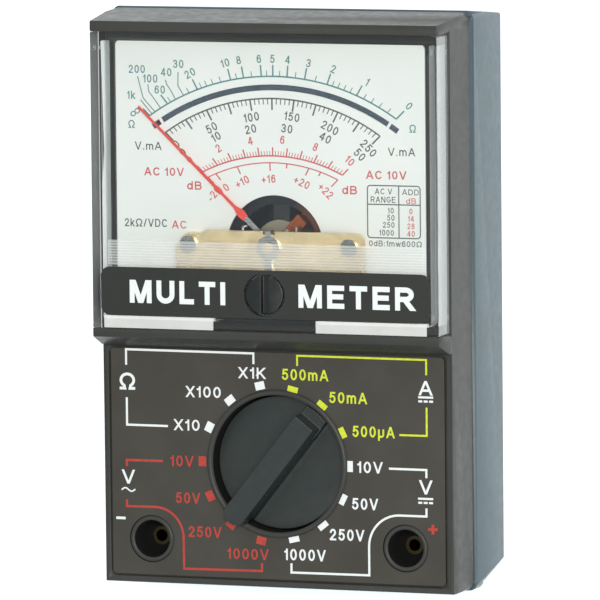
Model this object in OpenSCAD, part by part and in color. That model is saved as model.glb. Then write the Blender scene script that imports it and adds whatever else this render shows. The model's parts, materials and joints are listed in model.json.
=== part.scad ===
// Pocket analog multimeter, lying on its back. Millimetres.
// X runs across the case, Y towards the scale end, Z out of the face.
// The origin is the middle of the back, on the surface the meter lies on.

/* [Case] */
// Width over the rim of the rear cover
case_w = 66.6; // [66.4:0.1:66.8]
// Height over the rim of the rear cover
case_h = 100.5; // [100.3:0.1:100.7]
// Depth from the back to the front of the window
case_d = 31; // [30.9:0.1:31.2]
// Height of the joint between the two halves of the case
seam_z = 16.2; // [16.1:0.1:16.3]
// Height of the printed panel's face
panel_z = 25.3; // [25.2:0.1:25.4]

/* [Window] */
// Lower edge of the clear window
window_y0 = -4.75; // [-4.8:0.05:-4.7]
// Upper edge of the clear window
window_y1 = 46.75; // [46.7:0.05:46.8]
// Wall and face thickness of the clear window
window_t = 1.6; // [1.5:0.05:1.7]

/* [Movement] */
// Distance of the needle's pivot from the middle of the case
pivot_y = 9.65; // [9.6:0.05:9.7]
// Length of the needle from its pivot
needle_len = 34.3; // [33:0.1:35]
// Angle of the needle at rest, from +X
needle_rest = 136; // [134:0.5:137]
// Radius of the round cut-out in the dial plate
dial_hole_r = 8.85; // [8.7:0.05:9.0]
// Distance of the zero screw from the middle of the case
zero_y = 1.75; // [1.7:0.05:1.8]

/* [Range switch] */
// Distance of the knob's axis from the middle of the case
knob_y = -28.15; // [-28.3:0.05:-28.0]
// Radius of the knob's disc
knob_r = 11.6; // [11.4:0.05:11.7]
// Height of the top of the knob's bar
knob_top = 28.3; // [27.8:0.1:28.8]
// Number of switch positions
positions = 14; // [14]

/* [Sockets] */
// Distance of each socket from the middle, across the case
jack_x = 23.4; // [23.2:0.1:23.6]
// Distance of the sockets from the middle, along the case
jack_y = -42.05; // [-42.2:0.05:-42.0]
// Radius of the socket's well
jack_r = 3.3; // [3.2:0.05:3.4]
// Radius of the hole in the brass contact
contact_r = 1.05; // [1.0:0.05:1.1]

/* [Hidden] */
$fn = 64;

// Case
half_w = case_w / 2;
half_h = case_h / 2;
back_half_w = half_w - 0.55;
seam_half_w = half_w - 0.4;
panel_half_w = half_w - 1.2;
lip_half_w = half_w - 1.6;
wall_z0 = seam_z + 0.8;
plate_t = 2;
floor_t = 2;
cavity_x = 30.4;
cavity_y0 = -48;
cavity_y1 = 48.1;
rear_cavity_x = 31.1;
tongue_z0 = seam_z - 1.4;
lip_top_y = half_h - 1.7;
front_top_y = half_h - 0.25;
front_bottom_y = -half_h + 0.25;
panel_bottom_y = -half_h + 0.5;
shelf_y0 = window_y0 - 1.5;
shelf_foot_y = window_y0 - 3.6;
pocket_x = 31.05;
pocket_y0 = -48.7;
pocket_y1 = shelf_foot_y - 0.1;
pocket_t = 0.6;
plate_gap = 0.35;
clip_r = 1.05;
case_screw_at = [[-24, 44], [24, 44], [0, -43.6]];
screw_seat_z = 8;
pcb_screw_at = [[-12, -17.25], [12, -17.25], [-13, -44.25], [13, -44.25]];

// Window recess and dial
recess_x = lip_half_w - window_t;
recess_y0 = window_y0 + window_t;
recess_y1 = window_y1 - window_t;
window_face_z = case_d - window_t;
ledge_z0 = 21.4;
ledge_z1 = panel_z - plate_t;
flange_t = 1.1;
dial_z0 = ledge_z1 + flange_t;
dial_t = 0.4;
dial_z1 = dial_z0 + dial_t;
dial_x0 = -29.2;
dial_x1 = 27.6;
rib_count = 14;
rib_pitch = 0.3;
nameplate_t = 0.2;
nameplate_x = 30.2;
nameplate_y0 = window_y0 + 2.3;
nameplate_y1 = window_y0 + 10.8;
peg_x = lip_half_w - window_t / 2;
mirror_r = 38.7;
mirror_x = 0.15;
mirror_top_y = 37.15;
mirror_w = 1;
mirror_end = 35.5;
mirror_tie = 32.7;
mirror_tie_w = 0.5;
mirror_tie_t = 0.12;

// Movement
yoke_r = 9.8;
yoke_bore_r = 7.2;
core_r = 4.4;
magnet_z0 = 13.8;
core_z1 = 22.4;
yoke_z1 = 23;
cup_z0 = 13;
cup_r = 11;
coil_out = 6.6;
coil_in = 5.2;
coil_half_t = 1.1;
coil_z0 = 12.6;
coil_z1 = 23.6;
coil_leg = 0.8;
staff_r = 0.35;
jewel_r = 1;
bridge_z0 = 27;
bridge_z1 = 27.8;
bridge_x = 17.2;
bridge_y0 = 4.6;
bridge_y1 = 12.5;
pillar_r = 1.9;
dial_screw_x = 14.75;
dial_screw_y = 10;
dial_slot_x = 10.7;
dial_slot_y = 12.2;
lower_bar_z0 = 9.6;
lower_bar_z1 = 10.4;
needle_z = 25.65;
needle_t = 0.2;
stop_r = 6;
stop_turn = 8.6;
sweep = 92;

// Zero adjuster
zero_r = 3.4;
zero_flange_r = 3.95;
zero_pin_offset = 1.4;
zero_pin_r = 0.55;
lever_z0 = 27.9;
lever_t = 0.4;

// Range switch
step = 360 / positions;
well_r = 12;
well_wall = 1.3;
ring_r = 12.85;
ring_z = panel_z + 0.4;
well_floor_z1 = 20.4;
well_floor_z0 = 18.2;
hub_r = 4;
disc_z0 = well_floor_z1 + 0.3;
disc_z1 = 23;
bar_angle = 180 + 2 * step;
bar_top_w = 4.1;
bar_base_w = 4.5;
pointer_reach = 12.9;
tail_reach = 9.7;
rotor_z0 = 15.4;
rotor_z1 = 17.2;
rotor_r = 9.7;

// Circuit board
pcb_z0 = 12.4;
pcb_z1 = 14;
pcb_y0 = -47.2;
pcb_y1 = -15.4;
pcb_x = 29.6;
fuse_y = -37;
fuse_z = pcb_z0 - 3.6;
lead_r = 0.6;

// Sockets
jack_floor_z = panel_z - 4.75;
jack_boss_r = 3.95;
contact_wall = 0.6;
contact_z0 = 11;

// Ohm adjuster
wheel_x = -24.9;
wheel_y = -24;
wheel_r = half_w + wheel_x;
wheel_z0 = 17.3;
wheel_z1 = 19.7;

// Battery
cell_r = 7.1;
cell_y = -7.8;
cell_z = floor_t + cell_r + 0.1;
cell_half = 25.25;
nub_len = 1.4;
plate_t_battery = 0.4;
spring_x0 = -28.9;

// Prisms: the points of prism_x are [y, z], those of prism_y are [x, z].
module prism_x(x0, x1, points) {
    translate([x0, 0, 0])
        rotate([90, 0, 90])
            linear_extrude(x1 - x0) polygon(points);
}

module prism_y(y0, y1, points) {
    translate([0, y1, 0])
        rotate([90, 0, 0])
            linear_extrude(y1 - y0) polygon(points);
}

module box(x0, x1, y0, y1, z0, z1) {
    translate([x0, y0, z0]) cube([x1 - x0, y1 - y0, z1 - z0]);
}

// A rectangle with round corners, made of squares and circles so that it stays exact.
module round_rect(x0, x1, y0, y1, r) {
    translate([x0 + r, y0]) square([x1 - x0 - 2 * r, y1 - y0]);
    translate([x0, y0 + r]) square([x1 - x0, y1 - y0 - 2 * r]);
    for (x = [x0 + r, x1 - r])
        for (y = [y0 + r, y1 - r])
            translate([x, y]) circle(r);
}

module slab(x0, x1, y0, y1, r, z0, z1) {
    translate([0, 0, z0]) linear_extrude(z1 - z0) round_rect(x0, x1, y0, y1, r);
}

module post(x, y, r, z0, z1) {
    translate([x, y, z0]) cylinder(r = r, h = z1 - z0);
}

module tube(x, y, r, bore, z0, z1) {
    difference() {
        post(x, y, r, z0, z1);
        post(x, y, bore, z0 - 1, z1 + 1);
    }
}

module rod_x(x0, x1, y, z, r) {
    translate([x0, y, z]) rotate([0, 90, 0]) cylinder(r = r, h = x1 - x0);
}

module rod_y(x, y0, y1, z, r) {
    translate([x, y1, z]) rotate([90, 0, 0]) cylinder(r = r, h = y1 - y0);
}

// A screw that points along +Z, with its head's outer face at z0.
module screw_up(x, y, z0, head_r, head_t, shank_r, z1) {
    difference() {
        union() {
            post(x, y, head_r, z0, z0 + head_t);
            post(x, y, shank_r, z0 + head_t, z1);
        }
        translate([x, y, z0]) {
            cube([head_r * 1.4, head_r * 0.3, head_t], center = true);
            cube([head_r * 0.3, head_r * 1.4, head_t], center = true);
        }
    }
}

// A slotted screw that points along -Z, with its head's outer face at z1.
module screw_down(x, y, z1, head_r, head_t, shank_r, z0) {
    difference() {
        union() {
            post(x, y, head_r, z1 - head_t, z1);
            post(x, y, shank_r, z0, z1 - head_t);
        }
        translate([x, y, z1]) cube([head_r * 3, head_r * 0.28, head_t], center = true);
    }
}

// Sweeps a round section along a path.
function unit(v) = v / norm(v);
function tangent(path, i) =
    unit(path[min(i + 1, len(path) - 1)] - path[max(i - 1, 0)]);
function side_of(t) = unit(abs(t[2]) > 0.9 ? cross(t, [1, 0, 0]) : cross(t, [0, 0, 1]));
function next_side(s, t) = unit(s - (s * t) * t);
function sides_along(path, i, s) =
    i == len(path) ? [] :
    let (n = next_side(s, tangent(path, i))) concat([n], sides_along(path, i + 1, n));

module sweep_round(path, r, sides) {
    along = sides_along(path, 0, side_of(tangent(path, 0)));
    points = [
        for (i = [0 : len(path) - 1])
            let (t = tangent(path, i), a = along[i], b = cross(t, a))
            for (k = [0 : sides - 1])
                path[i] + r * cos(360 * k / sides) * a + r * sin(360 * k / sides) * b
    ];
    skin = [
        for (i = [0 : len(path) - 2])
            for (k = [0 : sides - 1])
                let (n = (k + 1) % sides)
                [i * sides + k, (i + 1) * sides + k, (i + 1) * sides + n, i * sides + n]
    ];
    start = [for (k = [0 : sides - 1]) k];
    end = [for (k = [sides - 1 : -1 : 0]) (len(path) - 1) * sides + k];
    polyhedron(points, concat([start], skin, [end]), convexity = 6);
}

// A smooth path through four points, as one Bezier curve.
function bezier(p, n) = [
    for (i = [0 : n])
        let (t = i / n, u = 1 - t)
        u * u * u * p[0] + 3 * u * u * t * p[1] + 3 * u * t * t * p[2] + t * t * t * p[3]
];

// A flat spiral strip that ends on the angle last.
module hairspring(r0, r1, turns, strip_t, last, z0, z1) {
    n = 40 * turns;
    function at(i, side) =
        let (r = r0 + (r1 - r0) * i / n + side * strip_t / 2, a = last - 360 * turns * (1 - i / n))
        [r * cos(a), r * sin(a)];
    outline = concat([for (i = [0 : n]) at(i, 1)], [for (i = [n : -1 : 0]) at(i, -1)]);
    translate([0, pivot_y, z0]) linear_extrude(z1 - z0) polygon(outline);
}

// Part of the front half below the panel's face, before it is hollowed.
module front_body() {
    intersection() {
        slab(-seam_half_w, seam_half_w, front_bottom_y, front_top_y, 1.5, wall_z0, panel_z);
        prism_y(-half_h, half_h, [
            [-seam_half_w, wall_z0], [seam_half_w, wall_z0],
            [panel_half_w, panel_z], [-panel_half_w, panel_z],
        ]);
        prism_x(-half_w, half_w, [
            [front_bottom_y, wall_z0], [front_top_y, wall_z0],
            [front_top_y - 0.85, panel_z], [panel_bottom_y, panel_z],
        ]);
    }
}

// The lip above the window and the shelf below it.
module front_bars() {
    intersection() {
        union() {
            prism_x(-half_w, half_w, [
                [window_y1, panel_z - 0.5], [front_top_y - 0.8, panel_z - 0.5],
                [front_top_y - 0.85, panel_z], [lip_top_y, case_d], [window_y1, case_d],
            ]);
            prism_x(-half_w, half_w, [
                [shelf_foot_y, panel_z - 0.5], [window_y0, panel_z - 0.5], [window_y0, case_d],
                [shelf_y0, case_d], [shelf_foot_y, panel_z],
            ]);
        }
        prism_y(-half_h, half_h, [
            [-panel_half_w, panel_z - 0.5], [panel_half_w, panel_z - 0.5],
            [panel_half_w, panel_z], [lip_half_w, case_d], [-lip_half_w, case_d], [-panel_half_w, panel_z],
        ]);
        union() {
            slab(-panel_half_w, panel_half_w, window_y1, half_h, 0.8, panel_z - 0.5, case_d);
            slab(-panel_half_w, panel_half_w, shelf_foot_y, window_y0, 0.5, panel_z - 0.5, case_d);
        }
    }
}

module case_tongue() {
    difference() {
        union() {
            slab(-seam_half_w + 0.8, seam_half_w - 0.8, front_bottom_y + 0.8, front_top_y - 0.8, 1,
                seam_z, wall_z0);
            slab(-cavity_x - 0.85, cavity_x + 0.85, cavity_y0 - 0.8, cavity_y1 + 0.7, 1, tongue_z0, seam_z);
        }
        slab(-cavity_x, cavity_x, cavity_y0, cavity_y1, 0.8, tongue_z0 - 1, wall_z0 + 1);
    }
}

module front_cavity() {
    slab(-cavity_x, cavity_x, cavity_y0, cavity_y1, 0.8, wall_z0 - 1, ledge_z0);
    slab(-cavity_x, cavity_x, cavity_y0, shelf_foot_y, 0.8, ledge_z0 - 1, ledge_z1);
    slab(-recess_x, recess_x, recess_y0, recess_y1, 0.5, ledge_z1, panel_z + 1);
    slab(-21, 21, -1.9, 25, 1, ledge_z0 - 1, ledge_z1 + 1);
    slab(-pocket_x, pocket_x, pocket_y0, pocket_y1, 1, panel_z - pocket_t, panel_z + 1);
}

module front_bosses() {
    post(0, knob_y, well_r + well_wall, well_floor_z0, panel_z - pocket_t);
    post(0, knob_y, ring_r, well_floor_z0, ring_z);
    for (x = [-jack_x, jack_x]) {
        post(x, jack_y, jack_boss_r, jack_floor_z - 1.25, panel_z);
        post(x, jack_y, jack_boss_r + 0.8, jack_floor_z - 1.25, panel_z - pocket_t);
    }
    for (p = pcb_screw_at)
        post(p[0], p[1], 1.9, pcb_z1, ledge_z1 + 0.5);
    for (p = case_screw_at)
        post(p[0], p[1], 2.2, seam_z, ledge_z0 + 0.5);
    post(0, case_screw_at[2][1], 2.2, ledge_z0, ledge_z1 + 0.5);
}

module front_holes() {
    post(0, knob_y, well_r, well_floor_z1, ring_z + 1);
    post(0, knob_y, hub_r + 0.05, well_floor_z0 - 1, well_floor_z1 + 1);
    for (x = [-jack_x, jack_x]) {
        post(x, jack_y, jack_r, jack_floor_z, panel_z + 1);
        post(x, jack_y, contact_r + contact_wall + 0.05, jack_floor_z - 3, jack_floor_z + 1);
    }
    for (p = pcb_screw_at)
        post(p[0], p[1], clip_r, pcb_z1 - 1, pcb_z1 + 5);
    for (p = case_screw_at)
        post(p[0], p[1], clip_r, seam_z - 1, ledge_z0 - 0.4);
    for (x = [-24.5, 24.5])
        for (y = [0.4, 41.5])
            post(x, y, 0.85, ledge_z0 - 1.5, ledge_z1 + 1);
    for (x = [-peg_x, peg_x])
        for (y = [window_y0 + 3, window_y1 - 3])
            post(x, y, 0.55, panel_z - 1.1, panel_z + 1);
    box(-half_w - 1, -cavity_x + 0.5, wheel_y - 7, wheel_y + 7, wall_z0 - 0.1, wheel_z1 + 0.4);
}

module front_case() color("#50514c") {
    difference() {
        union() {
            difference() {
                union() {
                    front_body();
                    front_bars();
                    case_tongue();
                }
                front_cavity();
            }
            front_bosses();
        }
        front_holes();
    }
}

module rear_outside() {
    intersection() {
        slab(-half_w, half_w, -half_h, half_h, 1.5, 0, seam_z);
        prism_y(-half_h, half_h, [
            [-back_half_w, 0], [back_half_w, 0], [half_w, seam_z], [-half_w, seam_z],
        ]);
        prism_x(-half_w, half_w, [
            [-half_h, seam_z], [-half_h, seam_z - 3.4], [-half_h + 1, seam_z - 3.4],
            [-half_h + 3.6, 0.6], [-half_h + 4.2, 0],
            [half_h - 1.95, 0], [half_h - 1.35, 0.6], [half_h, seam_z],
        ]);
    }
}

module rear_cavity() {
    prism_x(-rear_cavity_x, rear_cavity_x, [
        [-half_h + 2.6, seam_z], [-half_h + 2.7, seam_z - 3.6], [-half_h + 5, floor_t],
        [half_h - 3, floor_t], [half_h - 2, seam_z],
    ]);
    slab(-cavity_x - 1, cavity_x + 1, cavity_y0 - 0.95, cavity_y1 + 0.85, 1, tongue_z0 - 0.2, seam_z + 1);
}

module battery_cradle() {
    difference() {
        union() {
            for (x = [-12, 12])
                box(x - 0.6, x + 0.6, cell_y - 7.3, cell_y + 7.3, floor_t - 0.5, 6);
            box(cell_half + 0.55, cell_half + 2, cell_y - 7, cell_y + 7, floor_t - 0.5, 12);
            box(-30.8, spring_x0 - plate_t_battery - 0.05, cell_y - 7, cell_y + 7, floor_t - 0.5, 12);
        }
        rod_x(-20, 20, cell_y, cell_z, cell_r + 0.05);
    }
}

module rear_cover() color("#8a979b") {
    difference() {
        union() {
            difference() {
                rear_outside();
                rear_cavity();
            }
            battery_cradle();
            for (p = case_screw_at)
                intersection() {
                    post(p[0], p[1], 3.2, floor_t - 0.5, seam_z);
                    rear_outside();
                }
        }
        for (p = case_screw_at) {
            post(p[0], p[1], 1.3, -1, seam_z + 1);
            post(p[0], p[1], 2.1, -1, screw_seat_z);
        }
    }
}

module panel_plate() color("#4a453e") {
    difference() {
        slab(-pocket_x + plate_gap, pocket_x - plate_gap, pocket_y0 + plate_gap, pocket_y1 - plate_gap, 0.7,
            panel_z - pocket_t, panel_z);
        post(0, knob_y, ring_r + 0.05, panel_z - 1, panel_z + 1);
        for (x = [-jack_x, jack_x])
            post(x, jack_y, jack_boss_r + 0.2, panel_z - 1, panel_z + 1);
    }
}

module meter_window() color("#dfe8ea", 0.35) {
    difference() {
        slab(-lip_half_w, lip_half_w, window_y0, window_y1, 0.4, panel_z, case_d);
        slab(-recess_x, recess_x, recess_y0, recess_y1, 0.3, panel_z - 1, window_face_z);
        slab(-nameplate_x, nameplate_x, nameplate_y0, nameplate_y1, 1.7, case_d - nameplate_t, case_d + 1);
        post(0, zero_y, zero_r + 0.05, panel_z, case_d + 1);
    }
    for (i = [0 : rib_count - 1])
        let (y = nameplate_y1 + 0.3 + i * rib_pitch)
            box(dial_x0, dial_x1, y, y + rib_pitch / 2, window_face_z - 0.12, window_face_z);
    for (x = [-peg_x, peg_x])
        for (y = [window_y0 + 3, window_y1 - 3])
            post(x, y, 0.5, panel_z - 1, panel_z);
}

module nameplate() color("#2c2c2c") {
    difference() {
        slab(-nameplate_x + 0.05, nameplate_x - 0.05, nameplate_y0 + 0.05, nameplate_y1 - 0.05, 1.65,
            case_d - nameplate_t, case_d);
        post(0, zero_y, zero_r + 0.35, case_d - 1, case_d + 1);
    }
}

module case_screws() color("#9a9a9a") {
    for (p = case_screw_at)
        screw_up(p[0], p[1], screw_seat_z - 2, 1.9, 2, 1, ledge_z0 - 1);
}

module arc_band(r, w, top_y, half_angle) {
    translate([mirror_x, top_y - r])
        intersection() {
            difference() {
                circle(r + w / 2);
                circle(r - w / 2);
            }
            polygon([
                [0, 0], [2 * r * tan(half_angle), 2 * r], [-2 * r * tan(half_angle), 2 * r],
            ]);
        }
}

module dial_plate() color("#e9ebe6") {
    difference() {
        slab(dial_x0, dial_x1, recess_y0 + 0.25, recess_y1 - 0.15, 1, dial_z0, dial_z1);
        post(0, pivot_y, dial_hole_r, dial_z0 - 1, dial_z1 + 1);
        box(-dial_slot_x, dial_slot_x, window_y0, dial_slot_y, dial_z0 - 1, dial_z1 + 1);
        for (x = [-dial_screw_x, dial_screw_x])
            post(x, dial_screw_y, 0.85, dial_z0 - 1, dial_z1 + 1);
        translate([0, 0, dial_z0 - 1])
            linear_extrude(dial_t + 2) arc_band(mirror_r, mirror_w, mirror_top_y, mirror_end);
    }
    for (turn = [-mirror_tie, mirror_tie])
        translate([mirror_x, mirror_top_y - mirror_r, 0])
            rotate([0, 0, turn])
                box(-mirror_tie_w / 2, mirror_tie_w / 2, mirror_r - mirror_w / 2 - 0.1,
                    mirror_r + mirror_w / 2 + 0.1, dial_z1 - mirror_tie_t, dial_z1);
}

module mirror_strip() color("#6c7a80") {
    translate([0, 0, dial_z0])
        linear_extrude(dial_t - mirror_tie_t - 0.03)
            arc_band(mirror_r, mirror_w - 0.1, mirror_top_y, mirror_end - 0.1);
}

module dial_screws() color("#c9c4b4") {
    for (x = [-dial_screw_x, dial_screw_x])
        screw_down(x, dial_screw_y, bridge_z1 + 0.7, 1.5, 0.7, 0.75, 20);
}

module movement_frame() color("#1f1f1f") {
    difference() {
        union() {
            slab(-27, 27, -2.4, 44.6, 1, ledge_z1, dial_z0);
            post(0, pivot_y, cup_r, cup_z0, dial_z0);
            for (x = [-dial_screw_x, dial_screw_x])
                post(x, dial_screw_y, 1.8, 19, dial_z0);
        }
        post(0, pivot_y, yoke_r + 0.05, cup_z0 + 0.8, dial_z0 + 1);
        post(0, pivot_y, yoke_bore_r + 0.4, cup_z0 - 1, dial_z0);
        for (x = [-dial_screw_x, dial_screw_x])
            post(x, dial_screw_y, 0.8, 18, dial_z0 + 1);
        for (x = [-24.5, 24.5])
            for (y = [0.4, 41.5]) {
                post(x, y, 0.85, ledge_z1 - 1, dial_z0 + 1);
                post(x, y, 1.8, dial_z0 - 0.6, dial_z0 + 1);
            }
    }
}

module movement_screws() color("#b8b8b0") {
    for (x = [-24.5, 24.5])
        for (y = [0.4, 41.5])
            screw_down(x, y, dial_z0 - 0.05, 1.7, 0.55, 0.8, ledge_z0 - 1.4);
}

module yoke_ring() color("#8d9094") {
    tube(0, pivot_y, yoke_r, yoke_bore_r, magnet_z0, yoke_z1);
}

module magnet_core() color("#a9a9a6") {
    post(0, pivot_y, core_r, magnet_z0, core_z1);
}

module core_spacers() color("#1f1f1f") {
    intersection() {
        union()
            for (side = [-1, 1])
                translate([0, pivot_y + side * (core_r + yoke_bore_r) / 2, 18])
                    cube([3, yoke_bore_r - core_r + 2, 7], center = true);
        tube(0, pivot_y, yoke_bore_r - 0.02, core_r + 0.02, magnet_z0, yoke_z1);
    }
}

// The brass plate over the movement, on two pillars.
module upper_bridge() color("#d6bd8c") {
    difference() {
        union() {
            intersection() {
                slab(-bridge_x, bridge_x, bridge_y0, bridge_y1, 1.5, bridge_z0, bridge_z1);
                translate([0, 0, bridge_z0 - 1])
                    linear_extrude(3)
                        polygon([
                            [-bridge_x - 1, bridge_y0 - 1], [bridge_x + 1, bridge_y0 - 1],
                            [bridge_x + 1, bridge_y1 + 1], [-bridge_x + 5.8, bridge_y1 + 1],
                            [-bridge_x + 5.8, bridge_y1], [-bridge_x - 1, bridge_y1 - 3],
                        ]);
            }
            for (x = [-dial_screw_x, dial_screw_x])
                post(x, dial_screw_y, pillar_r, dial_z1, bridge_z0 + 0.2);
        }
        post(0, pivot_y, jewel_r, bridge_z0 - 1, bridge_z1 + 1);
        for (x = [-dial_screw_x, dial_screw_x])
            post(x, dial_screw_y, 0.8, dial_z1 - 1, bridge_z1 + 1);
        box(-1.1, 1.1, pivot_y + 2.3, bridge_y1 + 1, bridge_z0 - 1, bridge_z1 + 1);
    }
}

module lower_bridge() color("#c7c5bd") {
    difference() {
        union() {
            box(-9, 9, pivot_y - 1.6, pivot_y + 1.6, lower_bar_z0, lower_bar_z1);
            for (side = [-1, 1]) {
                box(side * 8.6 - 0.4, side * 8.6 + 0.4, pivot_y - 1.6, pivot_y + 1.6, lower_bar_z0, cup_z0);
                box(side * 9.6 - 1.2, side * 9.6 + 1.2, pivot_y - 1.6, pivot_y + 1.6, cup_z0 - 0.8, cup_z0);
            }
            post(2.6, pivot_y, 0.3, lower_bar_z1, 12);
        }
        post(0, pivot_y, jewel_r, lower_bar_z0 - 1, lower_bar_z1 + 1);
    }
}

module jewel_screws() color("#d8c27a") {
    difference() {
        post(0, pivot_y, jewel_r, 26.7, 28.5);
        post(0, pivot_y, staff_r + 0.08, 26, 27.3);
        translate([0, pivot_y, 28.5]) cube([3, 0.3, 0.8], center = true);
    }
    difference() {
        post(0, pivot_y, jewel_r, 8.9, 11.1);
        post(0, pivot_y, staff_r + 0.08, 10.3, 12);
        translate([0, pivot_y, 8.9]) cube([3, 0.3, 0.8], center = true);
    }
}

module stop_at(angle) {
    x = stop_r * cos(angle);
    y = pivot_y + stop_r * sin(angle);
    post(x, y, 0.25, 25.4, 27.5);
    rod_y(x, bridge_y1, y, 27.4, 0.25);
}

module pointer_stops() color("#b5b5ad") {
    stop_at(needle_rest + stop_turn);
    stop_at(needle_rest - sweep - stop_turn);
}

module lower_hairspring() color("#b5893b") {
    hairspring(0.7, 2.35, 4, 0.12, 0, 11.6, 11.9);
}

// The needle's own X runs from the pivot to the tip.
module along_needle() {
    translate([0, pivot_y, 0]) rotate([0, 0, needle_rest]) children();
}

module needle() color("#d8231c") {
    half_width = [
        [7, 0.6], [8.2, 0.75], [9.8, 0.26], [12.9, 0.22], [13.4, 0.42], [14.2, 0.42], [14.8, 0.25],
        [needle_len, 0.2],
    ];
    along_needle()
        translate([0, 0, needle_z])
            linear_extrude(needle_t)
                polygon(concat(
                    half_width,
                    [for (i = [len(half_width) - 1 : -1 : 0]) [half_width[i][0], -half_width[i][1]]]
                ));
}

module pointer_hub() color("#9fa3a6") {
    along_needle() {
        difference() {
            union() {
                translate([0, 0, 25.1]) cylinder(r = 0.95, h = 1);
                translate([0, -0.45, needle_z]) cube([7, 0.9, needle_t]);
                translate([-4.8, -0.3, needle_z]) cube([4.8, 0.6, needle_t]);
                translate([-0.3, -4.2, needle_z]) cube([0.6, 8.4, needle_t]);
            }
            translate([0, 0, 25]) cylinder(r = staff_r, h = 2);
        }
    }
}

module balance_weights() color("#cfcfca") {
    along_needle()
        for (turn = [90, 180, 270])
            rotate([0, 0, turn])
                translate([2.6, 0, 25.2])
                    difference() {
                        translate([0, -0.6, 0]) cube([1.2, 1.2, 1]);
                        translate([-1, -0.3, needle_z - 25.2]) cube([3, 0.6, needle_t]);
                    }
}

module moving_coil() color("#b5652d") {
    along_needle()
        difference() {
            translate([-coil_half_t, -coil_out, coil_z0])
                cube([2 * coil_half_t, 2 * coil_out, coil_z1 - coil_z0]);
            translate([-2, -coil_in, coil_z0 + coil_leg])
                cube([4, 2 * coil_in, coil_z1 - coil_z0 - 2 * coil_leg]);
        }
}

module pivot_staffs() color("#e0ddd2") {
    post(0, pivot_y, staff_r, coil_z1, 26.9);
    post(0, pivot_y, staff_r, 10.6, coil_z0);
}

module zero_screw() color("#1d1f20") {
    difference() {
        union() {
            post(0, zero_y, zero_r, window_face_z - 0.1, case_d - 0.1);
            post(0, zero_y, zero_flange_r, window_face_z - 0.8, window_face_z - 0.1);
            post(0, zero_y + zero_pin_offset, zero_pin_r, lever_z0 - 0.3, window_face_z - 0.8);
        }
        translate([0, zero_y, case_d]) cube([1.3, 8, 2.4], center = true);
    }
}

module zero_lever() color("#bdbbb2") {
    pin_y = zero_y + zero_pin_offset;
    difference() {
        union() {
            post(0, pivot_y, 2.1, lever_z0, lever_z0 + lever_t);
            box(-0.7, 0.7, pin_y + 1, pivot_y - 1.5, lever_z0, lever_z0 + lever_t);
            box(-1.5, 1.5, pin_y - 0.7, pin_y + 1.9, lever_z0, lever_z0 + lever_t);
            box(-0.5, 0.5, pivot_y + 1.5, pivot_y + 3, lever_z0, lever_z0 + lever_t);
            box(-0.3, 0.3, pivot_y + 2.66, pivot_y + 3, 26.25, lever_z0 + lever_t);
        }
        post(0, pivot_y, jewel_r + 0.05, lever_z0 - 1, lever_z0 + 1);
        box(-zero_pin_r - 0.15, zero_pin_r + 0.15, pin_y - 1, pin_y + 0.9, lever_z0 - 1, lever_z0 + 1);
    }
}

module upper_hairspring() color("#b5893b") {
    hairspring(1.15, 2.6, 3, 0.12, 90, 26.25, 26.5);
}

// The knob's own X runs along its bar, to the pointer.
module knob_bar() {
    intersection() {
        translate([-tail_reach, 0, 0])
            rotate([90, 0, 90])
                linear_extrude(tail_reach + pointer_reach)
                    polygon([
                        [-bar_base_w / 2, disc_z1 - 0.5], [bar_base_w / 2, disc_z1 - 0.5],
                        [bar_top_w / 2, knob_top], [-bar_top_w / 2, knob_top],
                    ]);
        union() {
            translate([0, 0, disc_z1 - 0.5]) cylinder(r = knob_r, h = ring_z + 0.9 - disc_z1);
            translate([-tail_reach, -3, disc_z1]) cube([tail_reach + pointer_reach - 2, 6, 2]);
            translate([0, 0, ring_z + 0.3]) {
                translate([-tail_reach, -3, 0]) cube([tail_reach + pointer_reach - 2.25, 6, 4]);
                translate([pointer_reach - 2.25, 0, 0]) cylinder(r = 2.25, h = 4);
            }
        }
        union() {
            translate([-knob_r, -3, 0]) cube([2 * knob_r, 6, ring_z + 0.3]);
            translate([-knob_r, -3, ring_z + 0.3]) cube([knob_r + pointer_reach, 6, 5]);
        }
    }
}

module range_knob() color("#2f3436") {
    difference() {
        translate([0, knob_y, 0]) rotate([0, 0, bar_angle]) {
            translate([0, 0, disc_z0]) cylinder(r = knob_r, h = disc_z1 - disc_z0);
            translate([0, 0, rotor_z1]) cylinder(r = hub_r, h = disc_z0 - rotor_z1 + 0.5);
            knob_bar();
            intersection() {
                translate([-knob_r, -bar_base_w / 2, disc_z1 - 0.5]) cube([4, bar_base_w, 2.4]);
                translate([0, 0, disc_z1 - 0.5]) cylinder(r = knob_r, h = 3);
            }
        }
        post(0, knob_y, 1.25, rotor_z1 - 1, 21.4);
    }
}

module wiper_rotor() color("#e6e2d4") {
    difference() {
        post(0, knob_y, rotor_r, rotor_z0, rotor_z1);
        post(0, knob_y, 1.3, rotor_z0 - 1, rotor_z1 + 1);
        for (i = [0 : positions - 1])
            post(rotor_r * cos(90 + i * step), knob_y + rotor_r * sin(90 + i * step), 0.8,
                rotor_z0 - 1, rotor_z1 + 1);
    }
}

// Three sprung arms press on the board's tracks.
module wiper_contacts() color("#c9a24a") {
    for (turn = [0, 120, 240])
        translate([0, knob_y, 0])
            rotate([0, 0, bar_angle + turn]) {
                translate([3.4, -0.6, rotor_z0 - 0.2]) cube([4.6, 1.2, 0.2]);
                prism_y(-0.6, 0.6, [
                    [6.9, rotor_z0 - 0.2], [7.5, pcb_z1 + 0.15], [8, pcb_z1 + 0.15], [7.4, rotor_z0 - 0.2],
                ]);
            }
}

module knob_screw() color("#a8a8a2") {
    screw_up(0, knob_y, rotor_z0 - 1.5, 2.3, 1.5, 1.2, 21.3);
}

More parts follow.
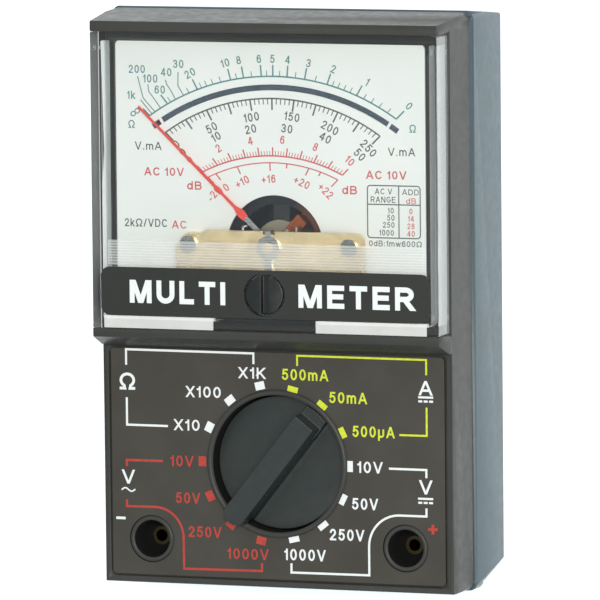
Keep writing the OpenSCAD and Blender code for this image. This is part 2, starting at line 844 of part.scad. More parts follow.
// A leaf that clicks into the rotor's notches.
module detent_spring() color("#b9bcbe") {
    tip = knob_y + rotor_r + 0.85;
    box(-7, 7, tip, tip + 0.25, rotor_z0 + 0.2, rotor_z1 - 0.2);
    post(0, tip, 0.75, rotor_z0 + 0.2, rotor_z1 - 0.2);
    for (x = [-7, 7])
        box(x - 0.5, x + 0.5, tip, tip + 1, pcb_z1, rotor_z1 - 0.2);
}

module ohm_wheel() color("#2b2b2b") {
    ridges = 40;
    outline = [
        for (i = [0 : 2 * ridges - 1])
            let (r = wheel_r - (i % 2) * 0.35, a = i * 180 / ridges)
            [r * cos(a), r * sin(a)]
    ];
    translate([wheel_x, wheel_y, 0]) {
        translate([0, 0, wheel_z0]) linear_extrude(wheel_z1 - wheel_z0) polygon(outline);
        translate([0, 0, 15]) cylinder(r = 1.5, h = wheel_z0 - 15 + 0.5);
    }
}

module potentiometer() color("#3f5d73") {
    difference() {
        union() {
            post(wheel_x, wheel_y, 5, pcb_z1, 16.8);
            box(wheel_x - 3.5, wheel_x + 3.5, wheel_y - 6.4, wheel_y, pcb_z1, 15);
        }
        post(wheel_x, wheel_y, 1.55, 14.6, 18);
    }
}

module pcb() color("#3d6b3a") {
    difference() {
        slab(-pcb_x, pcb_x, pcb_y0, pcb_y1, 1, pcb_z0, pcb_z1);
        post(0, knob_y, 3.2, pcb_z0 - 1, pcb_z1 + 1);
        box(-4.4, 4.4, pcb_y0 - 1, case_screw_at[2][1] + 3.4, pcb_z0 - 1, pcb_z1 + 1);
        for (p = pcb_screw_at)
            post(p[0], p[1], 1.1, pcb_z0 - 1, pcb_z1 + 1);
        for (x = [-jack_x, jack_x])
            post(x, jack_y, contact_r + contact_wall + 0.05, pcb_z0 - 1, pcb_z1 + 1);
    }
}

module switch_tracks() color("#c98a3c") {
    for (i = [0 : positions - 1])
        translate([0, knob_y, pcb_z1])
            rotate([0, 0, (i + 0.5) * step])
                translate([7.2, -0.9, 0]) cube([2.2, 1.8, 0.1]);
    tube(0, knob_y, 6.4, 5.2, pcb_z1, pcb_z1 + 0.1);
    tube(0, knob_y, 4.8, 3.8, pcb_z1, pcb_z1 + 0.1);
}

module pcb_screws() color("#a8a8a2") {
    for (p = pcb_screw_at)
        screw_up(p[0], p[1], pcb_z0 - 1.2, 2, 1.2, 1, pcb_z1 + 4.5);
}

// A part with two wire ends, lying under the board along X.
module axial_part(x, y, body_r, half_len) {
    z = pcb_z0 - body_r - 0.3;
    rod_x(x - half_len, x + half_len, y, z, body_r);
    rod_x(x - half_len - 1.6, x + half_len + 1.6, y, z, 0.25);
    for (end = [-1, 1])
        post(x + end * (half_len + 1.35), y, 0.25, z - 0.2, pcb_z0);
}

module resistors() color("#cdb38a") {
    for (x = [-20, -9, 9, 20])
        for (y = [-21.5, -25, -31.5])
            axial_part(x, y, 1.1, 3.1);
}

module diodes() color("#222222") {
    for (y = [-34.8, -37.6])
        axial_part(20.5, y, 0.9, 2);
}

module trimmer() color("#2f6db5") {
    difference() {
        union() {
            post(-20, -36.5, 3, pcb_z0 - 2.6, pcb_z0);
            box(-22.6, -17.4, -38.6, -34.4, pcb_z0 - 1.4, pcb_z0);
        }
        translate([-20, -36.5, pcb_z0 - 2.6]) cube([4, 0.7, 1.2], center = true);
    }
}

module fuse_tube() color("#dfe9ec", 0.4) {
    difference() {
        rod_x(-8, 8, fuse_y, fuse_z, 2.3);
        rod_x(-9, 9, fuse_y, fuse_z, 1.7);
    }
    rod_x(-8, 8, fuse_y, fuse_z, 0.1);
}

module fuse_caps() color("#d4d2c6") {
    for (side = [-1, 1])
        difference() {
            rod_x(side > 0 ? 5.2 : -10, side > 0 ? 10 : -5.2, fuse_y, fuse_z, 2.6);
            rod_x(-8, 8, fuse_y, fuse_z, 2.3);
        }
}

module fuse_clips() color("#c9a24a") {
    for (x = [-7.6, 7.6]) {
        difference() {
            rod_x(x - 1.6, x + 1.6, fuse_y, fuse_z, 2.9);
            rod_x(x - 2, x + 2, fuse_y, fuse_z, 2.6);
            box(x - 2, x + 2, fuse_y - 2, fuse_y + 2, fuse_z - 4, fuse_z - 1);
        }
        box(x - 1.6, x + 1.6, fuse_y - 1.4, fuse_y + 1.4, fuse_z + 2.65, pcb_z0);
    }
}

module jack_contact(x) {
    tube(x, jack_y, contact_r + contact_wall, contact_r, contact_z0, jack_floor_z);
    tube(x, jack_y, contact_r + contact_wall + 0.7, contact_r + contact_wall, pcb_z1, pcb_z1 + 0.6);
}

module jack_contact_negative() color("#c9a24a") {
    jack_contact(-jack_x);
}

module jack_contact_positive() color("#c9a24a") {
    jack_contact(jack_x);
}

module battery_cell() color("#3b6e4f") {
    rod_x(-cell_half, cell_half - nub_len, cell_y, cell_z, cell_r);
    rod_x(cell_half - nub_len, cell_half, cell_y, cell_z, 2.7);
}

module battery_contact_plates() color("#cfcdc3") {
    box(spring_x0 - plate_t_battery, spring_x0, cell_y - 5, cell_y + 5, floor_t, 14);
    box(cell_half, cell_half + plate_t_battery, cell_y - 5, cell_y + 5, floor_t, 14);
}

// A tapering coil between the plate and the flat end of the cell.
module battery_spring() color("#d9d7cf") {
    turns = 3;
    wire_r = 0.4;
    steps = 14 * turns;
    path = [
        for (i = [0 : steps])
            let (t = i / steps, a = 360 * turns * t, r = 4.2 - 1.6 * t)
            [
                spring_x0 + wire_r + 0.05 + t * (-cell_half - spring_x0 - 2 * wire_r - 0.1),
                cell_y + r * cos(a),
                cell_z + r * sin(a),
            ]
    ];
    sweep_round(path, wire_r, 8);
}

// Insulated wires: each is one curve between two soldered ends.

module wire(points) {
    sweep_round(bezier(points, 14), lead_r, 8);
}

module battery_lead_red() color("#b22a20") {
    x0 = cell_half + plate_t_battery;
    wire([
        [x0, cell_y - 4, 13], [x0 + 3, cell_y - 4, 13], [29, pcb_y1 - 1, 17.5], [26.5, pcb_y1 - 2, pcb_z1],
    ]);
}

module battery_lead_black() color("#1b1b1b") {
    x0 = spring_x0 - plate_t_battery / 2;
    wire([[x0, cell_y - 3.2, 14], [x0, cell_y - 4, 18], [-21, pcb_y1 + 0.5, 19], [-19, pcb_y1 - 2, pcb_z1]]);
}

module movement_lead_red() color("#b22a20") {
    wire([[10.6, pivot_y - 3, 17], [17, pivot_y - 4, 16.5], [17, -9, 21.5], [17.5, pcb_y1 - 1.4, pcb_z1]]);
}

module movement_lead_black() color("#1b1b1b") {
    wire([[-10.6, pivot_y - 3, 17], [-16, pivot_y - 4, 16.5], [-16, -9, 21.5], [-15.3, pcb_y1 - 1, pcb_z1]]);
}

front_case();
rear_cover();
panel_plate();
meter_window();
nameplate();
case_screws();
dial_plate();
mirror_strip();
dial_screws();
movement_frame();
movement_screws();
yoke_ring();
magnet_core();
core_spacers();
upper_bridge();
lower_bridge();
jewel_screws();
pointer_stops();
lower_hairspring();
needle();
pointer_hub();
balance_weights();
moving_coil();
pivot_staffs();
zero_screw();
zero_lever();
upper_hairspring();
range_knob();
wiper_rotor();
wiper_contacts();
knob_screw();
detent_spring();
ohm_wheel();
potentiometer();
pcb();
switch_tracks();
pcb_screws();
resistors();
diodes();
trimmer();
fuse_tube();
fuse_caps();
fuse_clips();
jack_contact_negative();
jack_contact_positive();
battery_cell();
battery_contact_plates();
battery_spring();
battery_lead_red();
battery_lead_black();
movement_lead_red();
movement_lead_black();
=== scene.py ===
"""Looks for a pocket analog multimeter that lies on its back. Lengths in this script are in millimetres."""

import json
import math

import bmesh
import bpy
from mathutils import Matrix, Vector


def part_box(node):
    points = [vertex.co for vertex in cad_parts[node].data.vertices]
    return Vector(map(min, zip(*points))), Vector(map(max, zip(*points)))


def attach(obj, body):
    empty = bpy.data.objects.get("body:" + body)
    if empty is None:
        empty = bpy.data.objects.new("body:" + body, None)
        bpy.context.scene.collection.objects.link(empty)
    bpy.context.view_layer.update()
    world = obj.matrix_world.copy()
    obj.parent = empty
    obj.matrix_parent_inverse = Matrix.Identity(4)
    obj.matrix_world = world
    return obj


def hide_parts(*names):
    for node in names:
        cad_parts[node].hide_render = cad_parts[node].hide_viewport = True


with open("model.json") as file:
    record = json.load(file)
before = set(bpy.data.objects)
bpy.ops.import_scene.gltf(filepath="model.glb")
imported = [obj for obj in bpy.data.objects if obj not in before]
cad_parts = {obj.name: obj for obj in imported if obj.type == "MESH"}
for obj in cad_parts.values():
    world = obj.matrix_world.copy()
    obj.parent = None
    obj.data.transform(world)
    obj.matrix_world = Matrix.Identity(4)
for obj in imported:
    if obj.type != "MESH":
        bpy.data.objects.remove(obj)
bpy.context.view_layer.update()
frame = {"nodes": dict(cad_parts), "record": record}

MM = 0.001

# Printed marks: height above their face, depth below it, the step between tops that cross, and the least
# cosine that a mitred corner is drawn out by
INK = 0.02
SUNK = 0.01
INK_STEP = 0.001
INK_STEPS = 5
MITRE_LIMIT = 0.4

# Rounded edges: the angle that counts as sharp, the angle that counts as flat, the distance that merges
# corners, and the heights between which the window's ribs stay sharp
SHARP = 40
FLAT = 0.6
MERGE = 0.002
RIB_TOPS = (29, 29.5)

# The window's milky places: their colour, strength, and extents across (from the middle), along and up.
# In the walls the milk is partly frost and partly painted reflection of light in the acrylic
FROST_AND_SHEEN_COLOUR = (0.92, 0.91, 0.89, 1)
WALLS_ACROSS = (30.0, 40)
WALLS_UP = (0, 30.7)
# Share of milk in the walls, partly frost and partly painted reflection
WALL_FROST_AND_SHEEN = 0.24
FAR_WALL_X = (-30.2, -30.0)
FAR_WALL_FROST_AND_SHEEN = 0.5
FOOT_ACROSS = (9.4, 29.6)
FOOT_ALONG = (-4.6, -2.5)
FOOT_MILK = 0.75
RIBS_ACROSS = (-1, 29.2)
RIBS_ALONG = (6.2, 10.6)
RIBS_UP = (0, 29.41)
RIB_MILK = 0.4
RIB_LINE = 0.24

# Heights of the printed faces
DIAL_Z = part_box("dial_plate")[1].z / MM
PANEL_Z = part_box("panel_plate")[1].z / MM
LABEL_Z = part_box("nameplate")[1].z / MM

# Camera: turned to the right of the meter, raised towards its scale end, and rolled a little
CAMERA_TURN = math.radians(20.2457)
CAMERA_TILT = math.radians(5.8283)
CAMERA_ROLL = math.radians(-0.54195)
CAMERA_AIM = Vector((0, 1.46, 31))
CAMERA_RIGHT = 6.17
CAMERA_UP = -0.60
CAMERA_DISTANCE = 1388.23
CAMERA_LENS = 484.416
SENSOR = 36

# The dial's printed scales: their pivot, the rays from it that end them, the centre and radius of each arc,
# and the resistance at the middle of the ohm scale
SCALE_PIVOT = Vector((-0.2, 9.65))
SCALE_START = 135.7
SCALE_END = 44.8
OHM_ARC = (Vector((-0.1, -0.7)), 39.75)
MAIN_ARC = (Vector((-0.23, 0.7)), 34.53)
AC_ARC = (Vector((-0.38, -3.15)), 28.46)
DB_ARC = (Vector((-0.25, -3.26)), 27.38)
OHM_MIDDLE = 5.1

# Knob, sockets and their wells, in which dark shade is painted
KNOB = Vector((0, -28.15))
KNOB_STEP = 360 / 14
KNOB_WELL_RADIUS = 12.1
SOCKET = (23.4, -42.05)
SOCKET_RADIUS = 3.36
WELL_TOP = PANEL_Z - 0.25
# Near-black colour painted in the wells as their shade
WELL_PAINTED_SHADE = (0.004, 0.004, 0.004, 1)

# Marks round the knob: radius of their middles, depth and width
NEAR_MARK = (13.4, 1.0, 1.9)
FAR_MARK = (13.85, 1.4, 1.75)

# The movement's iron core, the bronze bloom beside it, and where brass is darkened with painted shade deep in
# the sockets
PIVOT_Y = 9.65
CORE_RADIUS = 4.6
BLOOM_X = (4.6, 7.6)
SOCKET_SHADE_Y = (-60, -38)

# Heights of the lettering's capitals, and pen widths over that height
SCALE_TEXT = 1.42
TABLE_TEXT = 1.0
THIN = 0.14
BOLD = 0.165
HEAVY = 0.225

# The floor: half its width, its drop below the meter, and its glow
FLOOR_HALF = 2000
FLOOR_DROP = 0.1
FLOOR_GLOW = 0.52


def screen(red, green, blue):
    """A colour as a screen shows it, 0 to 255, as linear light."""
    def linear(value):
        value /= 255
        return value / 12.92 if value <= 0.04045 else ((value + 0.055) / 1.055) ** 2.4
    return (linear(red), linear(green), linear(blue), 1)


def scaled(colour, factor):
    return tuple(min(1, value * factor) for value in colour[:3]) + (1,)


# Materials

class Finish:
    """One procedural material: a Principled shader whose colour, roughness and bump come from noise."""

    def __init__(self, name):
        self.material = bpy.data.materials.new(name)
        self.material.use_nodes = True
        self.tree = self.material.node_tree
        self.shader = self.tree.nodes["Principled BSDF"]
        self.place = self.add("ShaderNodeTexCoord").outputs["Object"]

    def add(self, kind, **settings):
        node = self.tree.nodes.new(kind)
        for name, value in settings.items():
            setattr(node, name, value)
        return node

    def link(self, source, target):
        self.tree.links.new(source, target)

    def noise(self, size, detail=3, stretch=(1, 1, 1)):
        """Noise with features of about this size in millimetres."""
        mapping = self.add("ShaderNodeMapping")
        mapping.inputs["Scale"].default_value = stretch
        self.link(self.place, mapping.inputs["Vector"])
        node = self.add("ShaderNodeTexNoise")
        node.inputs["Scale"].default_value = 1 / (size * MM)
        node.inputs["Detail"].default_value = detail
        self.link(mapping.outputs["Vector"], node.inputs["Vector"])
        return node.outputs["Fac"]

    def spread(self, value, low, high, start=0.3, end=0.7):
        node = self.add("ShaderNodeMapRange")
        node.inputs["From Min"].default_value = start
        node.inputs["From Max"].default_value = end
        node.inputs["To Min"].default_value = low
        node.inputs["To Max"].default_value = high
        self.link(value, node.inputs["Value"])
        return node.outputs["Result"]

    def blend(self, factor, first, second):
        """A mix of two colours. Its node's inputs 6 and 7 and its output 2 are the ones for colours."""
        node = self.add("ShaderNodeMix", data_type="RGBA")
        self.link(factor, node.inputs["Factor"])
        for socket, colour in ((node.inputs[6], first), (node.inputs[7], second)):
            if isinstance(colour, tuple):
                socket.default_value = colour
            else:
                self.link(colour, socket)
        return node.outputs[2]

    def colour(self, value):
        self.link(value, self.shader.inputs["Base Color"])

    def set(self, **values):
        for name, value in values.items():
            self.shader.inputs[name.replace("_", " ")].default_value = value

    def math(self, operation, first, second):
        node = self.add("ShaderNodeMath", operation=operation)
        for socket, value in zip(node.inputs, (first, second)):
            if isinstance(value, (int, float)):
                socket.default_value = value
            else:
                self.link(value, socket)
        return node.outputs[0]

    def axes(self):
        node = self.add("ShaderNodeSeparateXYZ")
        self.link(self.place, node.inputs["Vector"])
        return [node.outputs[axis] for axis in "XYZ"]

    def within(self, value, low, high):
        """1 where the value lies between these, in millimetres."""
        over = self.math("GREATER_THAN", value, low * MM)
        return self.math("MULTIPLY", over, self.math("LESS_THAN", value, high * MM))

    def mix_shaders(self, factor, first, second):
        node = self.add("ShaderNodeMixShader")
        for socket, source in zip(node.inputs, (factor, first, second)):
            self.link(source, socket)
        return node.outputs["Shader"]

    def reach(self, x, y):
        """Distance in metres from an upright line through this place or through its mirror image in X."""
        across, along, _ = self.axes()
        if x:
            across = self.math("SUBTRACT", self.math("ABSOLUTE", across, 0), x * MM)
        along = self.math("SUBTRACT", along, y * MM)
        squares = [self.math("MULTIPLY", value, value) for value in (across, along)]
        return self.math("SQRT", self.math("ADD", *squares), 0)

    def wells(self):
        """1 inside the wells of the sockets and the knob, where dark shade is painted."""
        sockets = self.within(self.reach(*SOCKET), -1, SOCKET_RADIUS)
        knob = self.within(self.reach(0, KNOB.y), -1, KNOB_WELL_RADIUS)
        deep = self.within(self.axes()[2], 0, WELL_TOP)
        return self.math("MULTIPLY", self.math("MAXIMUM", sockets, knob), deep)

    def frost_and_sheen_share(self):
        """How milky the window is at each place: most in its side walls, its foot and its ribs. In the walls
        the milk is partly frost and partly painted reflection.
        """
        x, y, z = self.axes()
        side = self.math("ABSOLUTE", x, 0)
        walls = self.math("MULTIPLY", self.within(side, *WALLS_ACROSS), self.within(z, *WALLS_UP))
        foot = self.math("MULTIPLY", self.within(y, *FOOT_ALONG), self.within(side, *FOOT_ACROSS))
        ribs = self.math("MULTIPLY", self.within(y, *RIBS_ALONG), self.within(z, *RIBS_UP))
        ribs = self.math("MULTIPLY", ribs, self.within(side, *RIBS_ACROSS))
        ridge = self.spread(self.math("PINGPONG", y, RIB_LINE * MM), 0.6, 1.5, 0, RIB_LINE * MM)
        ribs = self.math("MULTIPLY", ribs, ridge)
        # Painted reflection: a bright milky strip along the far wall's inner face
        far_wall = self.within(x, *FAR_WALL_X)
        shares = ((walls, WALL_FROST_AND_SHEEN), (far_wall, FAR_WALL_FROST_AND_SHEEN), (foot, FOOT_MILK), (ribs, RIB_MILK))
        most = 0.0
        for place, share in shares:
            most = self.math("MAXIMUM", self.math("MULTIPLY", place, share), most)
        return most

    def relief(self, height, depth, edge=0.0):
        """Fine bump of this depth in millimetres, over edges that shade as if rounded."""
        bump = self.add("ShaderNodeBump")
        bump.inputs["Distance"].default_value = depth * MM
        bump.inputs["Strength"].default_value = 1
        self.link(height, bump.inputs["Height"])
        if edge:
            bevel = self.add("ShaderNodeBevel", samples=4)
            bevel.inputs["Radius"].default_value = edge * MM
            self.link(bevel.outputs["Normal"], bump.inputs["Normal"])
        self.link(bump.outputs["Normal"], self.shader.inputs["Normal"])


def plastic(
    name, colour, rough=(0.38, 0.5), grain=0.35, depth=0.004, vary=0.1, edge=0.12, tint=None, gloss=0.5,
    wells=False,
):
    """Moulded plastic: mottled a little, with a fine spark-eroded grain. It may have dark shade painted in
    its wells.
    """
    finish = Finish(name)
    cloud = finish.spread(finish.noise(9), 0, 1)
    base = finish.blend(cloud, scaled(colour, 1 - vary), tint or scaled(colour, 1 + vary))
    speck = finish.spread(finish.noise(0.5, 2), 0, 0.35, 0.55, 0.75)
    face = finish.blend(speck, base, scaled(colour, 1 + 2.2 * vary))
    uneven = finish.spread(finish.noise(1.6), *rough)
    # Painted shade: the plastic is coloured near black deep in the wells
    if wells:
        painted_well_shade = finish.wells()
        face = finish.blend(painted_well_shade, face, WELL_PAINTED_SHADE)
        uneven = finish.math("MAXIMUM", uneven, painted_well_shade)
    finish.set(Specular_IOR_Level=gloss)
    finish.colour(face)
    finish.link(uneven, finish.shader.inputs["Roughness"])
    finish.relief(finish.noise(grain, 2), depth, edge)
    return finish.material


def metal(name, colour, rough=(0.22, 0.38), socket_shade=None):
    """Worked metal: fine drawn lines along X and uneven polish. It may have dark shade painted at the
    sockets' end.
    """
    finish = Finish(name)
    cloud = finish.spread(finish.noise(3), 0, 1)
    face = finish.blend(cloud, scaled(colour, 0.88), scaled(colour, 1.12))
    # Painted shade: brass at the sockets' end is coloured dark
    if socket_shade:
        face = finish.blend(finish.within(finish.axes()[1], *SOCKET_SHADE_Y), face, socket_shade)
    finish.colour(face)
    finish.set(Metallic=1)
    lines = finish.noise(2.4, stretch=(1, 12, 12))
    finish.link(finish.spread(lines, *rough), finish.shader.inputs["Roughness"])
    finish.relief(lines, 0.003, 0.06)
    return finish.material


def ink(name, colour, vary=0.12):
    """Screen-printed ink, a little lighter in thin patches."""
    finish = Finish(name)
    patch = finish.spread(finish.noise(0.6, 4), 0, 1)
    finish.colour(finish.blend(patch, scaled(colour, 1 - vary), scaled(colour, 1 + vary)))
    finish.link(finish.spread(finish.noise(0.8), 0.39, 0.51), finish.shader.inputs["Roughness"])
    finish.relief(finish.noise(0.2, 2), 0.002)
    return finish.material


def clear_plastic():
    """Polished clear acrylic, milky over its ribs, and in its walls milky partly as frost and partly as
    painted reflection.

    Lamps shine straight through it, so that the scale behind it is lit.
    """
    finish = Finish("clear_plastic")
    finish.set(Transmission_Weight=1, IOR=1.49)
    haze = finish.spread(finish.noise(14), 0, 1)
    finish.colour(finish.blend(haze, (0.985, 0.995, 0.995, 1), (0.965, 0.98, 0.985, 1)))
    finish.link(finish.spread(finish.noise(5), 0.0, 0.002), finish.shader.inputs["Roughness"])
    finish.relief(finish.noise(20, 1), 0.002)
    through = finish.add("ShaderNodeBsdfTransparent")
    through.inputs["Color"].default_value = (0.95, 0.965, 0.965, 1)
    path = finish.add("ShaderNodeLightPath")
    lamp_or_bounce = finish.math("MAXIMUM", path.outputs["Is Shadow Ray"], path.outputs["Is Diffuse Ray"])
    # Diffuse milk: frost over the foot and ribs, partly frost and partly painted reflection in the walls
    frost_and_sheen_shader = finish.add("ShaderNodeBsdfDiffuse")
    frost_and_sheen_cloud = finish.spread(finish.noise(4), 0, 1)
    finish.link(finish.blend(frost_and_sheen_cloud, FROST_AND_SHEEN_COLOUR, scaled(FROST_AND_SHEEN_COLOUR, 0.9)), frost_and_sheen_shader.inputs["Color"])
    clear = finish.mix_shaders(finish.frost_and_sheen_share(), finish.shader.outputs["BSDF"], frost_and_sheen_shader.outputs["BSDF"])
    result = finish.mix_shaders(lamp_or_bounce, clear, through.outputs["BSDF"])
    finish.link(result, finish.tree.nodes["Material Output"].inputs["Surface"])
    return finish.material


def varnished_winding():
    """Enamelled copper wire, laid in even turns."""
    finish = Finish("copper_winding")
    wave = finish.add("ShaderNodeTexWave", wave_type="BANDS", bands_direction="Z")
    wave.inputs["Scale"].default_value = 1 / (0.5 * MM)
    wave.inputs["Distortion"].default_value = 0.4
    finish.link(finish.place, wave.inputs["Vector"])
    finish.colour(finish.blend(wave.outputs["Fac"], screen(120, 52, 22), screen(196, 104, 52)))
    finish.set(Metallic=0.6)
    finish.link(finish.spread(finish.noise(1), 0.25, 0.4), finish.shader.inputs["Roughness"])
    finish.relief(wave.outputs["Fac"], 0.02)
    return finish.material


def magnet_iron():
    """Black-lacquered iron, with a bronze bloom on its right side."""
    finish = Finish("soft_iron")
    wander = finish.math("MULTIPLY", finish.noise(2.5), 3 * MM)
    wander = finish.math("ADD", finish.axes()[0], wander)
    bloom = finish.spread(wander, 0, 1, *(x * MM for x in BLOOM_X))
    lacquer = finish.blend(bloom, screen(22, 23, 30), screen(104, 56, 30))
    core = finish.within(finish.reach(0, PIVOT_Y), -1, CORE_RADIUS)
    finish.colour(finish.blend(core, lacquer, screen(148, 142, 124)))
    finish.set(Metallic=0.35)
    finish.link(finish.spread(finish.noise(0.8), 0.28, 0.45), finish.shader.inputs["Roughness"])
    finish.relief(finish.noise(0.3, 2), 0.006, 0.08)
    return finish.material


def circuit_board():
    """Phenolic board with green solder resist over its tracks."""
    finish = Finish("circuit_board")
    cells = finish.add("ShaderNodeTexVoronoi", distance="MANHATTAN")
    cells.inputs["Scale"].default_value = 1 / (4 * MM)
    finish.link(finish.place, cells.inputs["Vector"])
    track = finish.spread(cells.outputs["Distance"], 0, 1, 0.3, 0.36)
    finish.colour(finish.blend(track, screen(46, 92, 58), screen(30, 66, 42)))
    finish.link(finish.spread(finish.noise(2), 0.35, 0.5), finish.shader.inputs["Roughness"])
    finish.relief(track, 0.02)
    return finish.material


def dial_card():
    """White-enamelled metal plate, very slightly warm, with orange-peel gloss."""
    finish = Finish("dial_card")
    cloud = finish.spread(finish.noise(22, 2), 0, 1)
    finish.colour(finish.blend(cloud, screen(240, 240, 236), screen(247, 246, 242)))
    finish.link(finish.spread(finish.noise(4), 0.42, 0.55), finish.shader.inputs["Roughness"])
    finish.relief(finish.noise(0.9, 2), 0.003, 0.1)
    return finish.material


def floor_paper():
    finish = Finish("floor_paper")
    cloud = finish.spread(finish.noise(60), 0, 1)
    finish.colour(finish.blend(cloud, (0.94, 0.94, 0.94, 1), (0.97, 0.97, 0.97, 1)))
    finish.set(Roughness=0.9, Emission_Color=(0.88, 0.96, 1, 1), Emission_Strength=FLOOR_GLOW)
    finish.relief(finish.noise(0.6, 2), 0.01)
    return finish.material


def make_materials():
    return {
        # Case plastic, with dark shade painted in its socket and knob wells
        "case_plastic": plastic(
            "case_plastic", screen(66, 66, 62), rough=(0.34, 0.46), tint=screen(69, 69, 66), gloss=0.25,
            vary=0.06, wells=True,
        ),
        "rear_plastic": plastic("rear_plastic", screen(84, 98, 104), rough=(0.3, 0.42), gloss=0.3, vary=0.06),
        "panel_print": plastic("panel_print", screen(62, 57, 50), rough=(0.5, 0.62), tint=screen(66, 63, 56)),
        "clear_plastic": clear_plastic(),
        "black_label": plastic("black_label", screen(38, 39, 36), rough=(0.45, 0.58), grain=0.6, edge=0.03),
        "black_plastic": plastic("black_plastic", screen(30, 32, 32), rough=(0.28, 0.4)),
        "knob_plastic": plastic("knob_plastic", screen(46, 52, 51), rough=(0.34, 0.46), vary=0.06, edge=0.18),
        "dial_card": dial_card(),
        "mirror_steel": metal("mirror_steel", screen(120, 128, 138), rough=(0.1, 0.2)),
        "red_paint": plastic(
            "red_paint", screen(236, 72, 60), rough=(0.35, 0.5), grain=0.2, depth=0.002, edge=0.03,
        ),
        "aluminium_part": metal("aluminium_part", screen(176, 178, 176)),
        "steel": metal("steel", screen(150, 150, 148)),
        "soft_iron": magnet_iron(),
        # Brass, with dark shade painted where it lies deep in the sockets
        "brass": metal("brass", screen(226, 206, 164), rough=(0.3, 0.45), socket_shade=screen(74, 64, 46)),
        "copper_winding": varnished_winding(),
        "spring_bronze": metal("spring_bronze", screen(196, 152, 84)),
        "white_plastic": plastic("white_plastic", screen(224, 222, 214)),
        "circuit_board": circuit_board(),
        "copper_track": metal("copper_track", screen(206, 158, 104)),
        "blue_plastic": plastic("blue_plastic", screen(52, 92, 160)),
        "resistor_body": plastic("resistor_body", screen(196, 172, 130), vary=0.16, grain=0.2),
        "diode_body": plastic("diode_body", screen(38, 36, 34)),
        "fuse_glass": plastic("fuse_glass", screen(214, 222, 220), rough=(0.05, 0.12), depth=0.001),
        "cell_jacket": metal("cell_jacket", screen(58, 112, 82), rough=(0.25, 0.35)),
        "red_insulation": plastic("red_insulation", screen(184, 40, 34)),
        "black_insulation": plastic("black_insulation", screen(34, 34, 36)),
    }


def dress_frame(materials):
    """Gives every CAD node the material of its slot."""
    for row in frame["record"]["subparts"]:
        node = frame["nodes"][row["node"]]
        node.data.materials.clear()
        node.data.materials.append(materials[row["material_slot"]])


# Shapes

def new_piece(name, mesh, body, material):
    piece = bpy.data.objects.new(name, mesh)
    bpy.context.scene.collection.objects.link(piece)
    mesh.materials.clear()
    mesh.materials.append(material)
    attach(piece, body)
    return piece


def softened(node, body, material, radius, segments=3, least=0.0, spare=(0, 0), smooth=True):
    """A copy of a CAD node with its sharp edges rounded, which stands for that node.

    Edges shorter than the least length, or whose middle is at a height to spare, stay sharp. Where a least
    length is given, faces with more than four corners are cut into triangles first.
    """
    mesh = frame["nodes"][node].data.copy()
    shape = bmesh.new()
    shape.from_mesh(mesh)
    bmesh.ops.remove_doubles(shape, verts=shape.verts, dist=MERGE * MM)
    bmesh.ops.dissolve_limit(
        shape, angle_limit=math.radians(FLAT), verts=shape.verts, edges=shape.edges,
        use_dissolve_boundaries=False,
    )
    if least:
        bmesh.ops.triangulate(shape, faces=[face for face in shape.faces if len(face.verts) > 4])
    weight = shape.edges.layers.float.new("bevel_weight_edge")
    for edge in shape.edges:
        turned = len(edge.link_faces) == 2 and edge.calc_face_angle() > math.radians(SHARP)
        height = (edge.verts[0].co.z + edge.verts[1].co.z) / 2 / MM
        kept = edge.calc_length() < least * MM or spare[0] < height < spare[1]
        edge[weight] = 1 if turned and not kept else 0
    shape.to_mesh(mesh)
    shape.free()
    if smooth:
        mesh.shade_smooth()
        mesh.set_sharp_from_angle(angle=math.radians(SHARP))
    else:
        mesh.shade_flat()
    piece = new_piece(node + "_soft", mesh, body, material)
    bevel = piece.modifiers.new("round_edges", "BEVEL")
    bevel.width = radius * MM
    bevel.segments = segments
    bevel.limit_method = "WEIGHT"
    bevel.use_clamp_overlap = False
    bevel.loop_slide = False
    bevel.harden_normals = smooth
    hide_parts(node)


def direction(angle):
    return Vector((math.cos(math.radians(angle)), math.sin(math.radians(angle))))


def arc_points(centre, radius, start, end, count=48):
    return [centre + radius * direction(start + (end - start) * i / count) for i in range(count + 1)]


def bow(x, y, wide, high, start, end):
    """Points along part of an ellipse."""
    count = max(3, round(abs(end - start) / 20))
    turns = [math.radians(start + (end - start) * i / count) for i in range(count + 1)]
    return [(x + wide * math.cos(turn), y + high * math.sin(turn)) for turn in turns]


